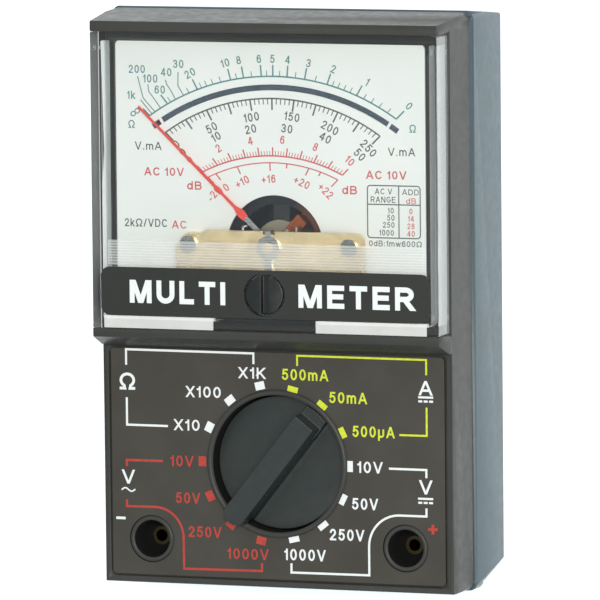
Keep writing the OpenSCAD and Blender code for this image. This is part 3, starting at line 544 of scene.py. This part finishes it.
# Letter shapes: width over the height of a capital, and pen paths in a box from (0, 0) to (1, 1). The gap
# between letters is over the same height.
LETTER_GAP = 0.2
GLYPHS = {
    " ": (0.16, []),
    "0": (0.58, [bow(0.5, 0.5, 0.5, 0.5, 90, 450)]),
    "1": (0.3, [[(1, 0), (1, 1)], [(0, 0.77), (0.9, 0.86)]]),
    "2": (0.56, [bow(0.5, 0.72, 0.47, 0.28, 170, -35) + [(0.08, 0.08)], [(0, 0), (1, 0)]]),
    "3": (0.56, [bow(0.46, 0.75, 0.44, 0.25, 160, -90), bow(0.46, 0.26, 0.52, 0.26, 90, -160)]),
    "4": (0.6, [[(0.76, 0), (0.76, 1)], [(0, 0.28), (0.68, 1)], [(0, 0.26), (1, 0.26)]]),
    "5": (0.56, [[(0.94, 1), (0.2, 1), (0.12, 0.54)], bow(0.48, 0.33, 0.52, 0.33, 135, -155)]),
    "6": (0.56, [bow(0.5, 0.32, 0.5, 0.32, 90, 450), bow(0.56, 0.5, 0.56, 0.5, 45, 180) + [(0, 0.3)]]),
    "8": (0.56, [bow(0.5, 0.76, 0.43, 0.24, -90, 270), bow(0.5, 0.26, 0.5, 0.26, 90, 450)]),
    "A": (0.74, [[(0, 0), (0.46, 1)], [(1, 0), (0.54, 1)], [(0.26, 0.3), (0.74, 0.3)]]),
    "B": (0.66, [
        [(0, 0), (0, 1)], [(0, 1)] + bow(0.6, 0.765, 0.3, 0.235, 90, -90) + [(0, 0.53)],
        [(0, 0.53)] + bow(0.6, 0.265, 0.4, 0.265, 90, -90) + [(0, 0)],
    ]),
    "C": (0.72, [bow(0.53, 0.5, 0.53, 0.5, 45, 315)]),
    "D": (0.7, [[(0, 0), (0, 1)], [(0, 1)] + bow(0.5, 0.5, 0.5, 0.5, 90, -90) + [(0, 0)]]),
    "E": (0.64, [[(0, 0), (0, 1)], [(0, 1), (1, 1)], [(0, 0.52), (0.92, 0.52)], [(0, 0), (1, 0)]]),
    "G": (0.74, [bow(0.52, 0.5, 0.52, 0.5, 50, 340) + [(1, 0.46), (0.58, 0.46)]]),
    "I": (0, [[(0, 0), (0, 1)]]),
    "K": (0.62, [[(0, 0), (0, 1)], [(0, 0.34), (0.94, 1)], [(0.34, 0.58), (1, 0)]]),
    "L": (0.58, [[(0, 0), (0, 1)], [(0, 0), (1, 0)]]),
    "M": (0.88, [[(0, 0), (0, 1)], [(1, 0), (1, 1)], [(0.11, 1), (0.45, 0)], [(0.89, 1), (0.55, 0)]]),
    "N": (0.72, [[(0, 0), (0, 1)], [(1, 0), (1, 1)], [(0.08, 1), (0.92, 0)]]),
    "R": (0.7, [
        [(0, 0), (0, 1)],
        [(0, 1)] + bow(0.6, 0.74, 0.4, 0.26, 90, -90) + [(0, 0.48)],
        [(0.52, 0.46), (0.98, 0)],
    ]),
    "T": (0.66, [[(0.5, 0), (0.5, 1)], [(0, 1), (1, 1)]]),
    "U": (0.72, [[(0, 1), (0, 0.4)] + bow(0.5, 0.36, 0.5, 0.36, 180, 360) + [(1, 0.4), (1, 1)]]),
    "V": (0.72, [[(0, 1), (0.46, 0)], [(1, 1), (0.54, 0)]]),
    "X": (0.62, [[(0, 0), (1, 1)], [(0, 1), (1, 0)]]),
    "d": (0.56, [[(1, 0), (1, 1)], bow(0.48, 0.36, 0.48, 0.36, 0, 360)]),
    "k": (0.52, [[(0, 0), (0, 1)], [(0, 0.22), (0.92, 0.7)], [(0.36, 0.42), (1, 0)]]),
    "m": (0.82, [
        [(0, 0), (0, 0.7)],
        bow(0.25, 0.46, 0.25, 0.25, 180, 0) + [(0.5, 0)],
        bow(0.75, 0.46, 0.25, 0.25, 180, 0) + [(1, 0)],
    ]),
    "w": (0.78, [[(top, 0.7), (foot, 0)] for top, foot in ((0, 0.25), (0.5, 0.25), (0.5, 0.75), (1, 0.75))]),
    "µ": (0.56, [[(0, -0.32), (0, 0.7)], bow(0.5, 0.26, 0.5, 0.26, 180, 360) + [(1, 0.7)]]),
    "Ω": (0.84, [[(0, 0), (0.3, 0)] + bow(0.5, 0.57, 0.5, 0.43, 240, -60) + [(0.7, 0), (1, 0)]]),
    "∞": (2.05, [bow(0.25, 0.5, 0.25, 0.5, 0, 360), bow(0.75, 0.5, 0.25, 0.5, 180, 540)]),
    "~": (3, [[(i / 16, 0.5 + 0.5 * math.sin(math.tau * i / 16)) for i in range(17)]]),
    "+": (0.56, [[(0, 0.4), (1, 0.4)], [(0.5, 0.12), (0.5, 0.68)]]),
    "-": (0.4, [[(0, 0.38), (1, 0.38)]]),
    "/": (0.4, [[(0, 0), (1, 1)]]),
    ".": (0, [[(0, 0), (0, 0.02)]]),
    ":": (0, [[(0, 0.04), (0, 0.06)], [(0, 0.6), (0, 0.62)]]),
}


def level_cut(start, end, pen):
    """The outline of a straight pen stroke. A steep one has its ends cut level."""
    run = end - start
    if abs(run.y) > 0.7 * abs(run.x):
        reach = run * pen / 2 / abs(run.y)
        side = Vector((pen / 2 * run.length / abs(run.y), 0))
    else:
        reach = run.normalized() * pen / 2
        side = Vector((-run.y, run.x)).normalized() * pen / 2
    return [start - reach - side, end + reach - side, end + reach + side, start - reach + side]


def square_ends(path, pen):
    """A pen path drawn out by half the pen's width at each end, unless it is a loop."""
    if (path[0] - path[-1]).length < pen / 100:
        return path
    first = path[0] + (path[0] - path[1]).normalized() * pen / 2
    last = path[-1] + (path[-1] - path[-2]).normalized() * pen / 2
    return [first] + path[1:-1] + [last]


class Print:
    """Printed marks of one colour on one face: thin closed prisms, joined in one mesh."""

    def __init__(self, face_z):
        self.shape = bmesh.new()
        self.low = face_z - SUNK
        self.face = face_z + INK
        self.laid = 0

    @property
    def high(self):
        """Height of the next mark's top. Marks that cross have tops a step apart."""
        return self.face + INK_STEP * (self.laid % INK_STEPS)

    def corner(self, point, z):
        return self.shape.verts.new((point[0] * MM, point[1] * MM, z * MM))

    def section(self, a, b):
        """The corners of an upright cut through a strip, from one of its sides to the other."""
        places = ((a, self.low), (b, self.low), (b, self.high), (a, self.high))
        return [self.corner(point, z) for point, z in places]

    def prism(self, outline):
        self.laid += 1
        low = [self.corner(point, self.low) for point in outline]
        high = [self.corner(point, self.high) for point in outline]
        self.shape.faces.new(list(reversed(low)))
        self.shape.faces.new(high)
        for i in range(len(outline)):
            j = (i + 1) % len(outline)
            self.shape.faces.new((low[i], low[j], high[j], high[i]))

    def band(self, left, right):
        """A closed strip between two rows of points."""
        self.laid += 1
        rows = [self.section(a, b) for a, b in zip(left, right)]
        for here, there in zip(rows, rows[1:]):
            for i in range(4):
                j = (i + 1) % 4
                self.shape.faces.new((here[i], here[j], there[j], there[i]))
        self.shape.faces.new(list(reversed(rows[0])))
        self.shape.faces.new(rows[-1])

    def line(self, points, width):
        """A stroke along a path, with mitred corners."""
        points = [Vector(point) for point in points]
        left, right = [], []
        for i, point in enumerate(points):
            before = (point - points[i - 1]).normalized() if i > 0 else None
            after = (points[i + 1] - point).normalized() if i < len(points) - 1 else None
            before = before or after
            after = after or before
            along = (before + after).normalized()
            side = Vector((-along.y, along.x))
            reach = width / 2 / max(MITRE_LIMIT, side.dot(Vector((-before.y, before.x))))
            left.append(point + side * reach)
            right.append(point - side * reach)
        self.band(left, right)

    def ring(self, points, width):
        """A closed stroke along an outline."""
        middle = sum(points, Vector((0, 0))) / len(points)
        inner, outer = [], []
        for i, point in enumerate(points):
            along = (points[(i + 1) % len(points)] - points[i - 1]).normalized()
            side = Vector((-along.y, along.x))
            side = side if side.dot(point - middle) > 0 else -side
            outer.append(point + side * width / 2)
            inner.append(point - side * width / 2)
        rows = [self.section(a, b) for a, b in zip(outer, inner)]
        for i, here in enumerate(rows):
            there = rows[(i + 1) % len(rows)]
            for k in range(4):
                m = (k + 1) % 4
                self.shape.faces.new((here[k], here[m], there[m], there[k]))

    def block(self, x, y, width, height, turn=0.0):
        across = direction(turn) * width / 2
        along = direction(turn + 90) * height / 2
        corners = (-across - along, across - along, across + along, along - across)
        self.prism([Vector((x, y)) + corner for corner in corners])

    def words(self, text, x, y, height, width=None, turn=0.0, weight=THIN):
        """Lettering centred on a point, drawn with a pen. height is that of a capital."""
        pen = weight * height
        widths = [max(GLYPHS[letter][0] * height, pen) for letter in text]
        natural = sum(widths) + LETTER_GAP * height * (len(text) - 1)
        fit = width / natural if width else 1
        middle = Vector((natural * fit / 2, height / 2))
        spin = Matrix.Rotation(math.radians(turn), 2)
        left = 0
        for letter, letter_width in zip(text, widths):
            room = max(letter_width * fit - pen, 0)
            for stroke in GLYPHS[letter][1]:
                path = [Vector((left + pen / 2 + room * u, pen / 2 + (height - pen) * v)) for u, v in stroke]
                straight = len(path) == 2
                path = level_cut(*path, pen) if straight else square_ends(path, pen)
                path = [Vector((x, y)) + spin @ (point - middle) for point in path]
                if straight:
                    self.prism(path)
                else:
                    self.line(path, pen)
            left += (letter_width + LETTER_GAP * height) * fit

    def done(self, name, body, material):
        bmesh.ops.recalc_face_normals(self.shape, faces=self.shape.faces)
        mesh = bpy.data.meshes.new(name)
        self.shape.to_mesh(mesh)
        self.shape.free()
        new_piece(name, mesh, body, material)


# The dial's print

def on_arc(arc, angle):
    """Where the ray from the scale's pivot at this angle meets an arc."""
    centre, radius = arc
    ray = direction(angle)
    offset = SCALE_PIVOT - centre
    along = -ray.dot(offset) + math.sqrt(ray.dot(offset) ** 2 - offset.length_squared + radius ** 2)
    return SCALE_PIVOT + along * ray


def scale_arc(marks, arc, width):
    centre, radius = arc
    start, end = (on_arc(arc, angle) - centre for angle in (SCALE_START, SCALE_END))
    start_angle, end_angle = (math.degrees(math.atan2(v.y, v.x)) for v in (start, end))
    marks.line(arc_points(centre, radius, start_angle, end_angle, 72), width)


def tick(marks, arc, angle, length, width):
    foot = on_arc(arc, angle)
    marks.line([foot, foot + direction(angle) * length], width)


def even_angle(share):
    return SCALE_START + (SCALE_END - SCALE_START) * share


def ohm_angle(ohms):
    return even_angle(1 / (1 + ohms / OHM_MIDDLE))


def facing(marks, text, x, y, height, **settings):
    """Lettering whose foot points to the scale's pivot."""
    away = Vector((x, y)) - SCALE_PIVOT
    marks.words(text, x, y, height, turn=math.degrees(math.atan2(away.y, away.x)) - 90, **settings)


def print_ohm_scale(materials):
    marks = Print(DIAL_Z)
    scale_arc(marks, OHM_ARC, 0.26)
    for ohms in (0, 1, 2, 3, 4, 5, 6, 8, 10, 20, 60):
        tick(marks, OHM_ARC, ohm_angle(ohms), 2.0, 0.26)
    small_marks = (0.2, 0.4, 0.6, 0.8, 1.2, 1.4, 1.6, 1.8, 2.5, 3.5, 4.5, 5.5, 7, 9, 12, 14, 16, 18, 25, 50)
    for ohms in small_marks:
        tick(marks, OHM_ARC, ohm_angle(ohms), 1.0, 0.15)
    tick(marks, OHM_ARC, SCALE_START, 1.7, 0.3)
    leaders = (
        ((-24.6, 34.6), on_arc(OHM_ARC, 134.7)),
        ((-25.1, 38.7), (-24.1, 34.9), on_arc(OHM_ARC, 133.5)),
        ((-23.2, 37.3), (-23.07, 36.1), (-21.95, 34.66), on_arc(OHM_ARC, 131.3)),
        ((-19.92, 38.1), (-19.72, 37.35), (-18.95, 36.3), on_arc(OHM_ARC, 125.5)),
        ((-17.57, 39.5), (-17.62, 37.12), on_arc(OHM_ARC, 122.4)),
    )
    for leader in leaders:
        marks.line(leader, 0.17)
    upright = (
        ("1k", -26.33, 35.4), ("200", -25.23, 39.92), ("100", -22.74, 38.3), ("60", -21.0, 36.4),
        ("40", -19.77, 39.45), ("30", -17.51, 40.93),
    )
    for text, x, y in upright:
        marks.words(text, x, y, SCALE_TEXT)
    turned = (
        ("20", -15.37, 39.35), ("10", -8.86, 41.22), ("8", -6.39, 41.75), ("6", -2.65, 42.03),
        ("5", -0.15, 42.07), ("4", 2.66, 41.96), ("3", 6.49, 41.43), ("2", 11.0, 40.5),
        ("1", 17.2, 38.38), ("0", 24.75, 34.37),
    )
    for text, x, y in turned:
        facing(marks, text, x, y, SCALE_TEXT)
    marks.words("∞", -25.61, 32.4, 0.95, width=1.95, turn=33, weight=0.2)
    marks.words("Ω", -26.32, 30.35, 1.4)
    marks.words("Ω", 25.34, 30.5, 1.4)
    marks.done("dial_ohm_print", "case", materials["teal_ink"])


def print_main_scale(materials):
    marks = Print(DIAL_Z)
    scale_arc(marks, MAIN_ARC, 0.26)
    for i in range(51):
        long_mark = i % 5 == 0
        length, width = (-2.0, 0.28) if long_mark else (-1.0, 0.17)
        tick(marks, MAIN_ARC, even_angle(i / 50), length, width)
    numbers = (
        ("50", -11.49, 29.96), ("10", -10.68, 28.42), ("100", -4.12, 31.93), ("20", -4.29, 29.87),
        ("150", 3.33, 32.13), ("30", 2.4, 30.07), ("200", 10.28, 30.35), ("40", 9.43, 28.62),
        ("250", 17.31, 26.99), ("50", 15.69, 25.84), ("0", -18.07, 27.02), ("0", -16.88, 25.65),
    )
    for text, x, y in numbers:
        facing(marks, text, x, y, 1.5)
    marks.words("V.mA", -23.26, 26.62, 1.4, width=4.9)
    marks.words("V.mA", 23.29, 26.45, 1.4, width=4.9)
    marks.words("2kΩ/VDC", -23.82, 13.22, 1.4, width=7.9)
    marks.done("dial_black_print", "case", materials["grey_ink"])


def print_red_scales(materials):
    marks = Print(DIAL_Z)
    scale_arc(marks, AC_ARC, 0.24)
    for i in range(51):
        long_mark = i % 5 == 0
        length, width = (1.5, 0.24) if long_mark else (0.85, 0.13)
        tick(marks, AC_ARC, even_angle(i / 50), length, width)
    scale_arc(marks, DB_ARC, 0.2)
    decibel_marks = (
        (SCALE_START, 1.5), (130.6, 1.4), (115.9, 1.4), (92.4, 1.4), (79.9, 0.8), (64.4, 1.4), (56.1, 0.8),
        (SCALE_END, 1.7),
    )
    for angle, length in decibel_marks:
        tick(marks, DB_ARC, angle, -length, 0.22)
    volts = (
        ("0", -15.62, 24.34), ("2", -10.28, 26.44), ("4", -4.38, 27.82), ("6", 1.54, 28.13), ("8", 7.6, 27.0),
        ("10", 13.87, 24.75),
    )
    for text, x, y in volts:
        facing(marks, text, x, y, SCALE_TEXT)
    decibels = (
        ("-20", -11.2, 18.5), ("0", -8.92, 19.68), ("+10", -5.94, 20.73), ("+16", -1.07, 21.3),
        ("+20", 5.04, 20.84), ("+22", 9.41, 19.48),
    )
    for text, x, y in decibels:
        facing(marks, text, x, y, 1.4)
    for x, y in ((-20.37, 22.18), (20.47, 22.42)):
        marks.words("AC 10V", x, y, 1.45, width=7.3, weight=BOLD)
    for x, y in ((-14.77, 19.88), (13.78, 19.7)):
        marks.words("dB", x, y, 1.45, width=2.7, weight=BOLD)
    marks.words("AC", -17.64, 13.03, 1.4, width=2.7, weight=0.15)
    marks.words("dB", 24.96, 18.04, TABLE_TEXT, width=1.8)
    for text, y in (("0", 16.26), ("14", 15.0), ("28", 13.7), ("40", 12.4)):
        marks.words(text, 24.9, y, TABLE_TEXT)
    marks.done("dial_red_print", "case", materials["red_ink"])


def print_db_table(materials):
    marks = Print(DIAL_Z)
    left, right, low, high, middle, head = 17.02, 26.6, 11.6, 20.6, 22.72, 17.35
    radius = 0.55
    corners = (
        (right - radius, high - radius, 0), (left + radius, high - radius, 90),
        (left + radius, low + radius, 180), (right - radius, low + radius, 270),
    )
    outline = []
    for x, y, start in corners:
        outline += arc_points(Vector((x, y)), radius, start, start + 90, 6)
    marks.ring(outline, 0.2)
    marks.line([(middle, low), (middle, high)], 0.2)
    marks.line([(left, head), (right, head)], 0.2)
    marks.words("AC V", 19.96, 19.61, TABLE_TEXT, width=3.1)
    marks.words("RANGE", 19.87, 18.19, 1.03, width=4.5)
    marks.words("ADD", 24.86, 19.55, TABLE_TEXT, width=3.0)
    volts = (("10", 21.25, 16.32), ("50", 21.25, 15.1), ("250", 20.85, 13.86), ("1000", 20.45, 12.5))
    for text, x, y in volts:
        marks.words(text, x, y, TABLE_TEXT)
    marks.words("0dB:1mw600Ω", 22.04, 10.63, TABLE_TEXT, width=9.6)
    marks.done("dial_table_print", "case", materials["grey_ink"])


# The panel's print

def knob_marks(marks, steps, size):
    radius, deep, wide = size
    for step in steps:
        angle = step * KNOB_STEP
        place = KNOB + direction(angle) * radius
        marks.block(place.x, place.y, deep, wide, angle)


def ranges(marks, names, height):
    """Names of ranges, each with its middle and width."""
    for text, x, y, width in names:
        marks.words(text, x, y, height, width=width, weight=BOLD)


def direct_current_bars(marks, x, y):
    """A line over three dashes."""
    marks.block(x, y, 2.75, 0.36)
    for shift in (-0.98, 0, 0.98):
        marks.block(x + shift, y - 0.7, 0.72, 0.36)


def print_white_panel(materials):
    marks = Print(PANEL_Z)
    marks.line([(-4.22, -10.9), (-4.22, -9.05), (-27.87, -8.98), (-27.87, -11.7)], 0.38)
    marks.line([(-27.82, -17.4), (-27.82, -22.18), (-20.2, -22.2)], 0.38)
    marks.words("Ω", -27.68, -14.55, 3.0, width=2.9, weight=BOLD)
    resistance = (("X1K", -4.5, -12.46, 4.85), ("X100", -13.52, -16.04, 6.4), ("X10", -16.65, -21.9, 4.7))
    ranges(marks, resistance, 1.95)
    corner = Vector((22.4, -42.0))
    path = [(2.45, -45.4), (2.43, -47.0), (16.75, -46.95)]
    path += arc_points(corner, 5.65, 180, 90, 20) + [(27.28, -36.35), (27.29, -34.95)]
    marks.line(path, 0.38)
    marks.line([(20.5, -28.28), (27.32, -28.3), (27.32, -29.7)], 0.38)
    direct_volts = (
        ("10V", 17.03, -28.2, 4.6), ("50V", 16.06, -34.6, 4.75), ("250V", 12.71, -40.1, 6.3),
        ("1000V", 4.95, -43.86, 7.6),
    )
    ranges(marks, direct_volts, 2.0)
    for x in (-27.68, 27.2):
        marks.words("V", x, -31.3, 2.45, width=2.3, weight=BOLD)
    marks.words("~", -27.7, -33.55, 0.85, width=2.6, weight=0.3)
    direct_current_bars(marks, 27.15, -33.3)
    marks.words("A", 27.3, -14.15, 2.5, width=2.4, weight=BOLD)
    direct_current_bars(marks, 27.3, -15.75)
    knob_marks(marks, (4, 5, 6), FAR_MARK)
    knob_marks(marks, (0, -1, -2, -3), NEAR_MARK)
    marks.block(-29.17, -38.6, 1.75, 0.46)
    marks.done("panel_white_print", "case", materials["white_ink"])


def print_red_panel(materials):
    marks = Print(PANEL_Z)
    marks.line([(-27.93, -29.5), (-27.93, -28.38), (-21.2, -28.35)], 0.42)
    path = [(-28.0, -35.3), (-28.0, -36.48)] + arc_points(Vector((-22.75, -41.7)), 5.25, 90, 0, 20)
    path += [(-17.45, -47.08), (-3.0, -46.95), (-3.0, -45.6)]
    marks.line(path, 0.4)
    alternating_volts = (
        ("10V", -17.66, -28.23, 4.3), ("50V", -16.62, -34.67, 4.5), ("250V", -13.52, -40.52, 6.1),
        ("1000V", -5.58, -44.08, 7.6),
    )
    ranges(marks, alternating_volts, 1.92)
    knob_marks(marks, (7, 8, 9, 10), FAR_MARK)
    long_reach, short_reach = 0.85, 0.25
    quarter = [(long_reach, short_reach), (short_reach, short_reach), (short_reach, long_reach)]
    turns = [Matrix.Rotation(math.radians(90 * i), 2) for i in range(4)]
    marks.prism([Vector((28.44, -38.56)) + turn @ Vector(point) for turn in turns for point in quarter])
    marks.done("panel_red_print", "case", materials["panel_red_ink"])


def print_yellow_panel(materials):
    marks = Print(PANEL_Z)
    marks.line([(3.83, -11.0), (3.83, -9.22), (27.43, -9.28), (27.43, -11.9)], 0.34)
    marks.line([(22.45, -22.4), (27.45, -22.4), (27.45, -17.5)], 0.34)
    current = (("500mA", 5.26, -12.52, 8.5), ("50mA", 13.12, -16.27, 6.9), ("500µA", 17.73, -22.02, 7.7))
    ranges(marks, current, 1.95)
    knob_marks(marks, (1, 2, 3), NEAR_MARK)
    marks.done("panel_yellow_print", "case", materials["yellow_ink"])


def print_label(materials):
    marks = Print(LABEL_Z)
    marks.words("MULTI", -15.9, 1.8, 4.0, width=17.8, weight=HEAVY)
    marks.words("METER", 16.8, 1.75, 4.0, width=21, weight=HEAVY)
    marks.done("label_lettering", "case", materials["white_ink"])


def add_inks(materials):
    materials["teal_ink"] = ink("teal_ink", screen(84, 134, 134))
    materials["grey_ink"] = ink("grey_ink", screen(84, 88, 86))
    materials["red_ink"] = ink("red_ink", screen(208, 88, 88))
    materials["white_ink"] = ink("white_ink", screen(240, 244, 244), vary=0.04)
    materials["panel_red_ink"] = ink("panel_red_ink", screen(184, 62, 50))
    materials["yellow_ink"] = ink("yellow_ink", screen(214, 226, 52))


# Case, knob and window

def build_shells(materials):
    softened("front_case", "case", materials["case_plastic"], 0.22, least=9)
    softened("rear_cover", "case", materials["rear_plastic"], 0.3, least=9)
    softened("range_knob", "range_switch", materials["knob_plastic"], 0.16)
    softened(
        "meter_window", "case", materials["clear_plastic"], 0.1, segments=2, least=50,
        spare=RIB_TOPS, smooth=False,
    )
    softened("zero_screw", "zero_adjuster", materials["black_plastic"], 0.12)
    softened("ohm_wheel", "ohm_adjuster", materials["black_plastic"], 0.12)


# Stage

def add_floor():
    mesh = bpy.data.meshes.new("floor")
    half = FLOOR_HALF * MM
    mesh.from_pydata(
        [(-half, -half, 0), (half, -half, 0), (half, half, 0), (-half, half, 0)], [], [(0, 1, 2, 3)],
    )
    mesh.materials.append(floor_paper())
    floor = bpy.data.objects.new("floor", mesh)
    floor.location.z = -FLOOR_DROP * MM
    bpy.context.scene.collection.objects.link(floor)


def add_area_light(name, place, target, size, power, colour):
    light = bpy.data.lights.new(name, "AREA")
    light.shape = "SQUARE"
    light.size = size * MM
    light.energy = power
    light.color = colour
    lamp = bpy.data.objects.new(name, light)
    lamp.location = Vector(place) * MM
    lamp.rotation_euler = (Vector(target) - Vector(place)).to_track_quat("-Z", "Y").to_euler()
    bpy.context.scene.collection.objects.link(lamp)


def add_lights():
    world = bpy.data.worlds.new("studio")
    world.use_nodes = True
    background = world.node_tree.nodes["Background"]
    background.inputs["Color"].default_value = (0.82, 0.93, 1, 1)
    background.inputs["Strength"].default_value = 0.5
    bpy.context.scene.world = world
    add_area_light(
        "key", place=(330, 170, 1000), target=(0, 0, 0), size=420, power=7.9, colour=(1, 0.95, 0.87),
    )
    add_area_light("side", place=(900, 0, 250), target=(0, 0, 15), size=500, power=1, colour=(0.5, 0.82, 1))


def add_camera():
    forward = Vector((
        -math.sin(CAMERA_TURN) * math.cos(CAMERA_TILT), -math.sin(CAMERA_TILT),
        -math.cos(CAMERA_TURN) * math.cos(CAMERA_TILT),
    ))
    right = Vector((math.cos(CAMERA_TURN), 0, -math.sin(CAMERA_TURN)))
    up = right.cross(forward)
    place = CAMERA_AIM + CAMERA_RIGHT * right + CAMERA_UP * up - CAMERA_DISTANCE * forward
    rolled_right = math.cos(CAMERA_ROLL) * right + math.sin(CAMERA_ROLL) * up
    rolled_up = -math.sin(CAMERA_ROLL) * right + math.cos(CAMERA_ROLL) * up
    turn = Matrix((rolled_right, rolled_up, -forward)).transposed()
    lens = bpy.data.cameras.new("camera")
    lens.lens = CAMERA_LENS
    lens.sensor_width = SENSOR
    camera = bpy.data.objects.new("camera", lens)
    camera.matrix_world = Matrix.Translation(place * MM) @ turn.to_4x4()
    bpy.context.scene.collection.objects.link(camera)
    bpy.context.scene.camera = camera


add_camera()
materials = make_materials()
add_inks(materials)
dress_frame(materials)
build_shells(materials)
print_ohm_scale(materials)
print_main_scale(materials)
print_red_scales(materials)
print_db_table(materials)
print_white_panel(materials)
print_red_panel(materials)
print_yellow_panel(materials)
print_label(materials)
add_floor()
add_lights()
bpy.context.scene.view_settings.view_transform = "Standard"
